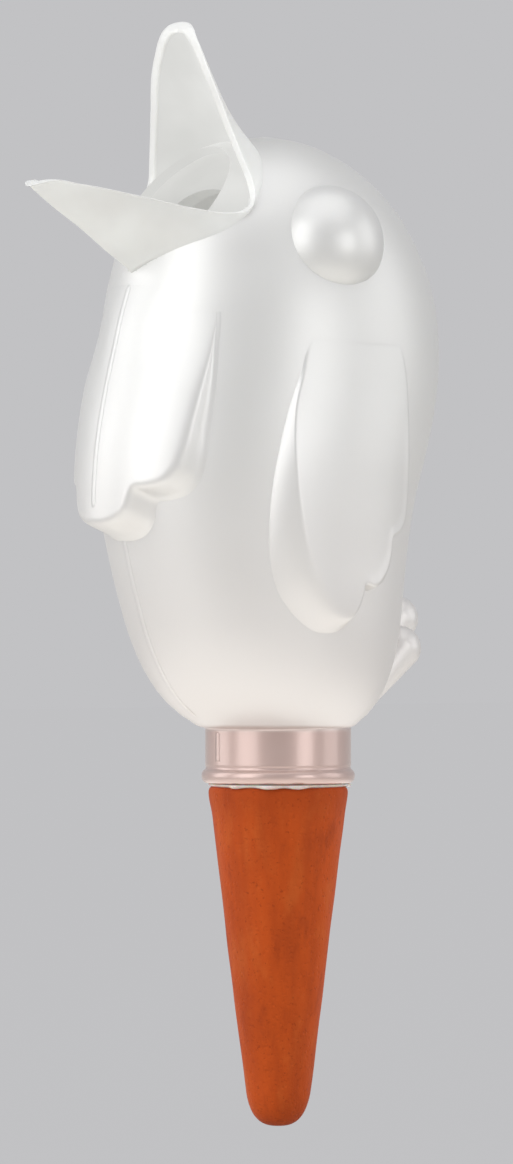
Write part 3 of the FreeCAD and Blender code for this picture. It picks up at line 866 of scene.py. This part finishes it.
def make_eyes():
    """Bulging domes on the sides of the head."""
    first = EYE_LOOK.cross(Vector((0, 0, 1))).normalized()
    second = EYE_LOOK.cross(first)
    rows = [(EYE_RADIUS * sin(turn), EYE_RADIUS * cos(turn))
            for turn in spread(0.0, EYE_EDGE, EYE_RINGS)]
    rows += EYE_FOOT

    def place(across, along):
        reach, height = rows[round(along * (len(rows) - 1))]
        turn = 2 * pi * across
        return EYE_MIDDLE + EYE_LOOK * height + (first * cos(turn) + second * sin(turn)) * reach

    dome = grid_mesh(EYE_COLUMNS, len(rows) - 1, place)
    piece("eyes", mirrored(dome), pearl_body)


# Tail
# Side, forward and height of the tip's middle, lean in degrees, length, half width, half depth
TAIL = (
    (0.0, -34.3, 39.2, 40.0, 24.0, 5.4, 5.4),
    (7.0, -30.3, 32.2, 40.0, 19.0, 5.4, 5.4),
    (-7.0, -30.3, 32.2, 40.0, 19.0, 5.4, 5.4),
)
# A lobe is drawn out downward by a power, and narrows by this share down to its root
TAIL_DRAWN, TAIL_NARROW = 1.5, 0.35
TAIL_COLUMNS, TAIL_ROWS = 40, 36


def make_tail():
    """Three rounded lobes that turn up behind."""
    bm = bmesh.new()
    for side, forward, height, lean, length, half_width, half_depth in TAIL:
        ball = bmesh.ops.create_uvsphere(bm, u_segments=TAIL_COLUMNS, v_segments=TAIL_ROWS,
                                         radius=1.0)
        lobe = ball["verts"]
        for vert in lobe:
            down = max(0.0, -vert.co.z)
            narrow = 1 - TAIL_NARROW * down
            vert.co = Vector((vert.co.x * half_width * narrow, vert.co.y * half_depth * narrow,
                              vert.co.z * half_depth - down**TAIL_DRAWN * length))
        leaned = Matrix.Rotation(-radians(lean), 4, "X")
        place = Matrix.Translation((side, -forward, height))
        bmesh.ops.transform(bm, matrix=Matrix.Scale(MM, 4) @ place @ leaned, verts=lobe)
    piece("tail", bm, pearl_body)


# Seam
SEAM_HALF, SEAM_PROUD = 0.90, 0.18
# The line sinks by this much over this many points at either end
SEAM_DIP, SEAM_DIP_POINTS = 0.6, 4.0
# Steps across the line: share of its half width, share of its height or depth in mm
SEAM_ACROSS = ((-1.0, -0.6), (-1.0, 0.0), (-0.62, 0.62), (-0.25, 0.95), (0.0, 1.0),
               (0.25, 0.95), (0.62, 0.62), (1.0, 0.0), (1.0, -0.6))
# Heights of the lines' ends, from the collar's bead up, and a height in the body's middle
SEAM_BEAD, SEAM_ROOT, SEAM_HEM, SEAM_CHEST, SEAM_CHIN = 4.4, BODY_FOOT + 0.2, 61.2, 64.0, 121.5
SEAM_MIDDLE = 84.0
FOOT_POINTS, BELLY_POINTS, CHEST_POINTS, BACK_POINTS = 31, 60, 70, 150
# Past the crown the line goes on forward to these reaches and bends down
CROWN_REACHES, CROWN_BEND = (1.5, 3.0, 4.5), 0.035


def seam_lines():
    """The mid plane's outline in forward and height, where the two mouldings meet."""
    front_foot = [(COLLAR_RADIUS, height)
                  for height in spread(COLLAR_TOP, SEAM_BEAD, FOOT_POINTS)]
    back_foot = [(-forward, height) for forward, height in front_foot]
    belly = [(front_of(height, 0.0), height)
             for height in spread(SEAM_ROOT, SEAM_HEM, BELLY_POINTS)]
    chest = [(front_of(height, 0.0) + bib_out(height), height)
             for height in spread(SEAM_CHEST, SEAM_CHIN, CHEST_POINTS)]
    back = []
    for turn in spread(0.0, pi / 2, BACK_POINTS):
        height = SEAM_ROOT + (BODY_TOP - SEAM_ROOT) * sin(turn)
        middle, depth, _ = body_oval(height)
        back.append((middle - depth, height))
    back += [(CROWN + reach, BODY_TOP - CROWN_BEND * reach**2) for reach in CROWN_REACHES]
    return front_foot, belly, chest, back, back_foot


def seam_normal(line, step):
    """The way out of the body at a point of a line."""
    out = square_to(line[max(step - 1, 0)], line[min(step + 1, len(line) - 1)])
    forward, height = line[step]
    middle = body_oval(min(max(height, BODY_FOOT), BODY_TOP))[0]
    outward = out[0] * (forward - middle) + out[1] * (height - SEAM_MIDDLE)
    return out if outward >= 0 else (-out[0], -out[1])


def make_seam():
    """The fine raised line that the two mouldings leave in the mid plane."""
    bm = bmesh.new()
    rows = len(SEAM_ACROSS) - 1
    for line in seam_lines():
        count = len(line) - 1
        strip = bmesh.ops.create_grid(bm, x_segments=count, y_segments=rows, size=0.5)["verts"]
        for vert in strip:
            step = round((vert.co.x + 0.5) * count)
            side, lift = SEAM_ACROSS[round((vert.co.y + 0.5) * rows)]
            proud = SEAM_PROUD * lift if lift > 0 else lift
            proud -= SEAM_DIP * (1 - ease(0.0, SEAM_DIP_POINTS, min(step, count - step)))
            forward, height = line[step]
            out = seam_normal(line, step)
            vert.co = Vector((side * SEAM_HALF, -forward - out[0] * proud,
                              height + out[1] * proud)) * MM
    bmesh.ops.remove_doubles(bm, verts=bm.verts, dist=WELD * MM)
    fill_holes(bm)
    piece("seam", bm, pearl_body)


# Clay spike
# Turned rows: radius and height, from the tip up outside and from the neck down inside
CLAY_OUTSIDE = (
    (0.0, -82.3), (1.6, -82.25), (3.0, -81.95), (4.4, -81.2), (5.6, -80.0), (6.5, -78.5),
    (7.15, -76.8), (7.6, -75.0), (7.95, -72.6), (8.35, -69.5), (9.1, -63.5), (9.9, -57.4),
    (10.6, -52.1), (11.4, -45.5), (12.2, -39.2), (12.9, -33.2), (13.55, -28.1), (14.3, -22.0),
    (15.0, -16.4), (15.7, -11.0), (16.3, -6.0), (16.6, -3.7), (16.72, -2.5), (16.7, -1.8),
    (16.5, -1.25), (16.15, -0.92), (15.75, -0.78), (15.45, -0.7), (15.4, -0.5), (15.4, 2.0),
    (15.4, 11.6), (15.3, 11.85), (15.0, 12.0),
)
CLAY_INSIDE = ((11.3, 12.0), (11.0, 11.85), (10.9, 11.5), (3.3, -72.6), (2.6, -73.2), (0.0, -73.3))
CLAY_COLUMNS, CLAY_LEVELS = 96, 151
# Waves of the uneven surface: size in mm, count round the cone and turn per mm of height
CLAY_WAVES = ((0.10, 2, 0.05), (0.06, 5, -0.11), (0.04, 9, 0.31))
# The waves start between these two heights and shrink within this radius of the tip
UNEVEN_START, UNEVEN_FULL, UNEVEN_RADIUS = -3.2, -8.0, 6.0
# They are lessened by this share and drawn in by this much, which keeps them in the outline
UNEVEN_LESS, UNEVEN_INSET = 0.12, 0.1
# Points closer to the axis than this stay
ON_AXIS = 1e-4


def make_spike():
    """The hollow clay cone, a little uneven as it leaves its mould."""
    fine = path(CLAY_OUTSIDE)
    outside = [fine(share) for share in spread(0.0, 1.0, CLAY_LEVELS)]
    rows = [(height, 0.0, max(radius, 0.0), max(radius, 0.0))
            for radius, height in (*outside, *CLAY_INSIDE)]
    bm = lathe(CLAY_COLUMNS, rows)
    for vert in bm.verts:
        side, back, height = vert.co / MM
        reach = hypot(side, back)
        if reach < ON_AXIS or height >= UNEVEN_START:
            continue
        turn = atan2(side, -back)
        share = ease(UNEVEN_START, UNEVEN_FULL, height)
        waves = sum(size * sin(count * turn + pitch * height) for size, count, pitch in CLAY_WAVES)
        waves *= min(1.0, reach / UNEVEN_RADIUS) - UNEVEN_LESS
        out = (waves - UNEVEN_INSET) * share
        vert.co.x += side / reach * out * MM
        vert.co.y += back / reach * out * MM
    piece("clay_cone", bm, terracotta, ("clay_spike",))


# Sealant
# Bearing of each squeezed-out blob from the left side towards the front, its spread in
# degrees, how far it stands out and how far it hangs below the lip, in mm
BLOBS = ((18.0, 9.0, 1.1, 0.45), (36.0, 5.0, 0.5, 0.25), (44.0, 7.0, 0.9, 0.45),
         (71.0, 7.0, 0.8, 0.40), (150.0, 8.0, 0.7, 0.3), (215.0, 10.0, 0.9, 0.35),
         (300.0, 6.0, 0.6, 0.3))
# Turned rows: radius and height, round the closed section
SEAL_ROWS = ((15.45, 11.5), (15.85, 11.5), (15.85, 0.3), (15.9, -0.05), (16.3, -0.05),
             (16.65, -0.12), (16.8, -0.32), (16.72, -0.54), (16.4, -0.76), (15.9, -0.94),
             (15.5, -1.02), (15.3, -0.9), (15.42, 0.0))
# Only the lip outside this radius swells, fully this much farther out
SEAL_NECK, SEAL_WIDE = 15.9, 0.62
# Above this height the lip hangs down by a smaller share, and next to the neck by at least this one
SEAL_UNDERSIDE, SEAL_UPPER_SHARE, SEAL_NECK_SHARE = -0.5, 0.2, 0.2
SEAL_COLUMNS = 360


def blob_swell(bearing):
    """How far the blobs at a bearing stand out and hang down."""
    reach, drop = 0.0, 0.0
    for middle, width, out, hang in BLOBS:
        away = abs((bearing - middle + 180) % 360 - 180) / width
        swell = exp(-away * away)
        reach += out * swell
        drop += hang * swell
    return reach, drop


def make_sealant():
    """Sealant round the clay neck, with its lip and blobs under the collar."""
    count = len(SEAL_ROWS)

    def place(across, along):
        radius, height = SEAL_ROWS[round(along * count) % count]
        turn = 2 * pi * across
        if radius > SEAL_NECK and height < 0:
            reach, drop = blob_swell(across * 360 % 360)
            share = (radius - SEAL_NECK) / SEAL_WIDE
            drop *= 1 if height < SEAL_UNDERSIDE else SEAL_UPPER_SHARE
            radius += reach * share
            height -= drop * min(1.0, share + SEAL_NECK_SHARE)
        return radius * cos(turn), radius * sin(turn), height

    piece("sealant_lip", grid_mesh(SEAL_COLUMNS, count, place), clear_sealant,
          ("sealant_ring",))


make_body()
make_beak()
make_bib()
make_wings()
make_eyes()
make_tail()
make_seam()
make_spike()
make_sealant()

# Studio
BACKGROUND = (0.539, 0.539, 0.552)
TABLE = (1.75, 1.70, 1.62)
TABLE_FAR = (0.62, 0.61, 0.60)
TABLE_SHADE = (0.42, 0.41, 0.39)
# The table's glow turns into the far one between these distances, in metres, and is this share
# of what the camera sees of it
TABLE_FADE, TABLE_GLOW_SHARE = (0.07, 0.42), 0.985
# Half the table's width in metres, and its height in mm
TABLE_HALF, TABLE_HEIGHT = 4.0, -83.5
# Strength of the background as a light
BACKGROUND_LIGHT = 0.90
# The camera's bearing left of the bird's front, and in mm its distance and height
AZIMUTH, DISTANCE, HORIZON = radians(56), 3000.0, 82.0
SENSOR, NEAREST, FARTHEST = 24.0, 0.05, 40.0
MM_PER_PIXEL, PHOTO_HEIGHT = 0.24, 1164
# The photograph's middle, in mm to the right of the spike's axis and up
FRAME_MIDDLE = (-5.2, 48.2)


def make_camera():
    """The photograph's view: level with the chest, from the bird's front left."""
    data = bpy.data.cameras.new("camera")
    frame_height = PHOTO_HEIGHT * MM_PER_PIXEL
    data.sensor_fit = "VERTICAL"
    data.sensor_height = SENSOR
    data.lens = SENSOR * DISTANCE / frame_height
    data.shift_x = FRAME_MIDDLE[0] / frame_height
    data.shift_y = (FRAME_MIDDLE[1] - HORIZON) / frame_height
    data.clip_start, data.clip_end = NEAREST, FARTHEST
    camera = in_scene("camera", data)
    camera.location = (DISTANCE * MM * sin(AZIMUTH), -DISTANCE * MM * cos(AZIMUTH), HORIZON * MM)
    camera.rotation_euler = (pi / 2, 0.0, AZIMUTH)
    bpy.context.scene.camera = camera


def paper_finish():
    """A bright table that the camera sees as even grey paper, with a little of its shadow."""
    paper = Finish("studio_paper", Roughness=0.9, Base_Color=TABLE_SHADE, Specular_IOR_Level=0.0)
    seen = paper.node("ShaderNodeLightPath", output="Is Camera Ray")
    glossy = paper.node("ShaderNodeLightPath", output="Is Glossy Ray")
    through = paper.node("ShaderNodeLightPath", output="Is Transmission Ray")
    distance = paper.node("ShaderNodeVectorMath", {"operation": "LENGTH"},
                          {"Vector": paper.place()}, "Value")
    table = paper.colours(distance.clip(*TABLE_FADE), TABLE, TABLE_FAR)
    glow = paper.node("ShaderNodeEmission",
                      sockets={"Color": paper.colours(glossy, BACKGROUND, table)})
    share = (seen + through + glossy) * TABLE_GLOW_SHARE
    return paper.done(paper.node("ShaderNodeMixShader",
                                 sockets={0: share, 1: paper.shader, 2: glow}))


def make_table():
    """The paper under the object."""
    bm = bmesh.new()
    bmesh.ops.create_grid(bm, x_segments=1, y_segments=1, size=TABLE_HALF)
    bmesh.ops.translate(bm, verts=bm.verts, vec=(0, 0, TABLE_HEIGHT * MM))
    floor = in_scene("floor", as_mesh("floor", bm))
    floor.data.materials.append(paper_finish())


def make_background():
    """The grey that the camera sees, a little dimmer as a light."""
    world = bpy.data.worlds.new("studio")
    bpy.context.scene.world = world
    world.use_nodes = True
    grey = Nodes(world.node_tree)
    seen = grey.node("ShaderNodeLightPath", output="Is Camera Ray")
    through = grey.node("ShaderNodeLightPath", output="Is Transmission Ray")
    either = grey.node("ShaderNodeMath", {"operation": "MAXIMUM"}, {0: seen, 1: through})
    level = grey.node("ShaderNodeMapRange", sockets={"Value": either, "To Min": BACKGROUND_LIGHT})
    glow = grey.node("ShaderNodeBackground", sockets={"Color": BACKGROUND, "Strength": level})
    grey.node("ShaderNodeOutputWorld", sockets={"Surface": glow})


# Softboxes: name, bearing from the camera and height in degrees, distance and size in metres,
# power in watts
SOFTBOXES = (
    ("left_softbox", -50.0, 12.0, 0.9, 0.6, 1.1, 4.1),
    ("left_back_softbox", -98.0, 10.0, 1.0, 0.5, 0.9, 2.3),
    ("right_softbox", 43.0, 4.0, 1.0, 0.45, 0.6, 2.0),
    ("right_back_softbox", 92.0, 14.0, 1.0, 0.6, 0.8, 1.6),
    ("top_softbox", 10.0, 78.0, 1.1, 1.4, 1.4, 4.6),
)
LIGHT_AIM = Vector((0.0, 0.0, 70.0)) * MM


def make_lights():
    """Softboxes round the object, each turned towards its middle."""
    for name, bearing, rise, distance, width, height, power in SOFTBOXES:
        data = bpy.data.lights.new(name, "AREA")
        data.shape = "RECTANGLE"
        data.size, data.size_y = width, height
        data.energy = power
        lamp = in_scene(name, data)
        turn, lift = AZIMUTH + radians(bearing), radians(rise)
        way = Vector((sin(turn) * cos(lift), -cos(turn) * cos(lift), sin(lift)))
        lamp.location = LIGHT_AIM + way * distance
        lamp.rotation_euler = way.to_track_quat("Z", "Y").to_euler()


make_camera()
make_table()
make_background()
make_lights()
bpy.context.scene.view_settings.view_transform = "Standard"
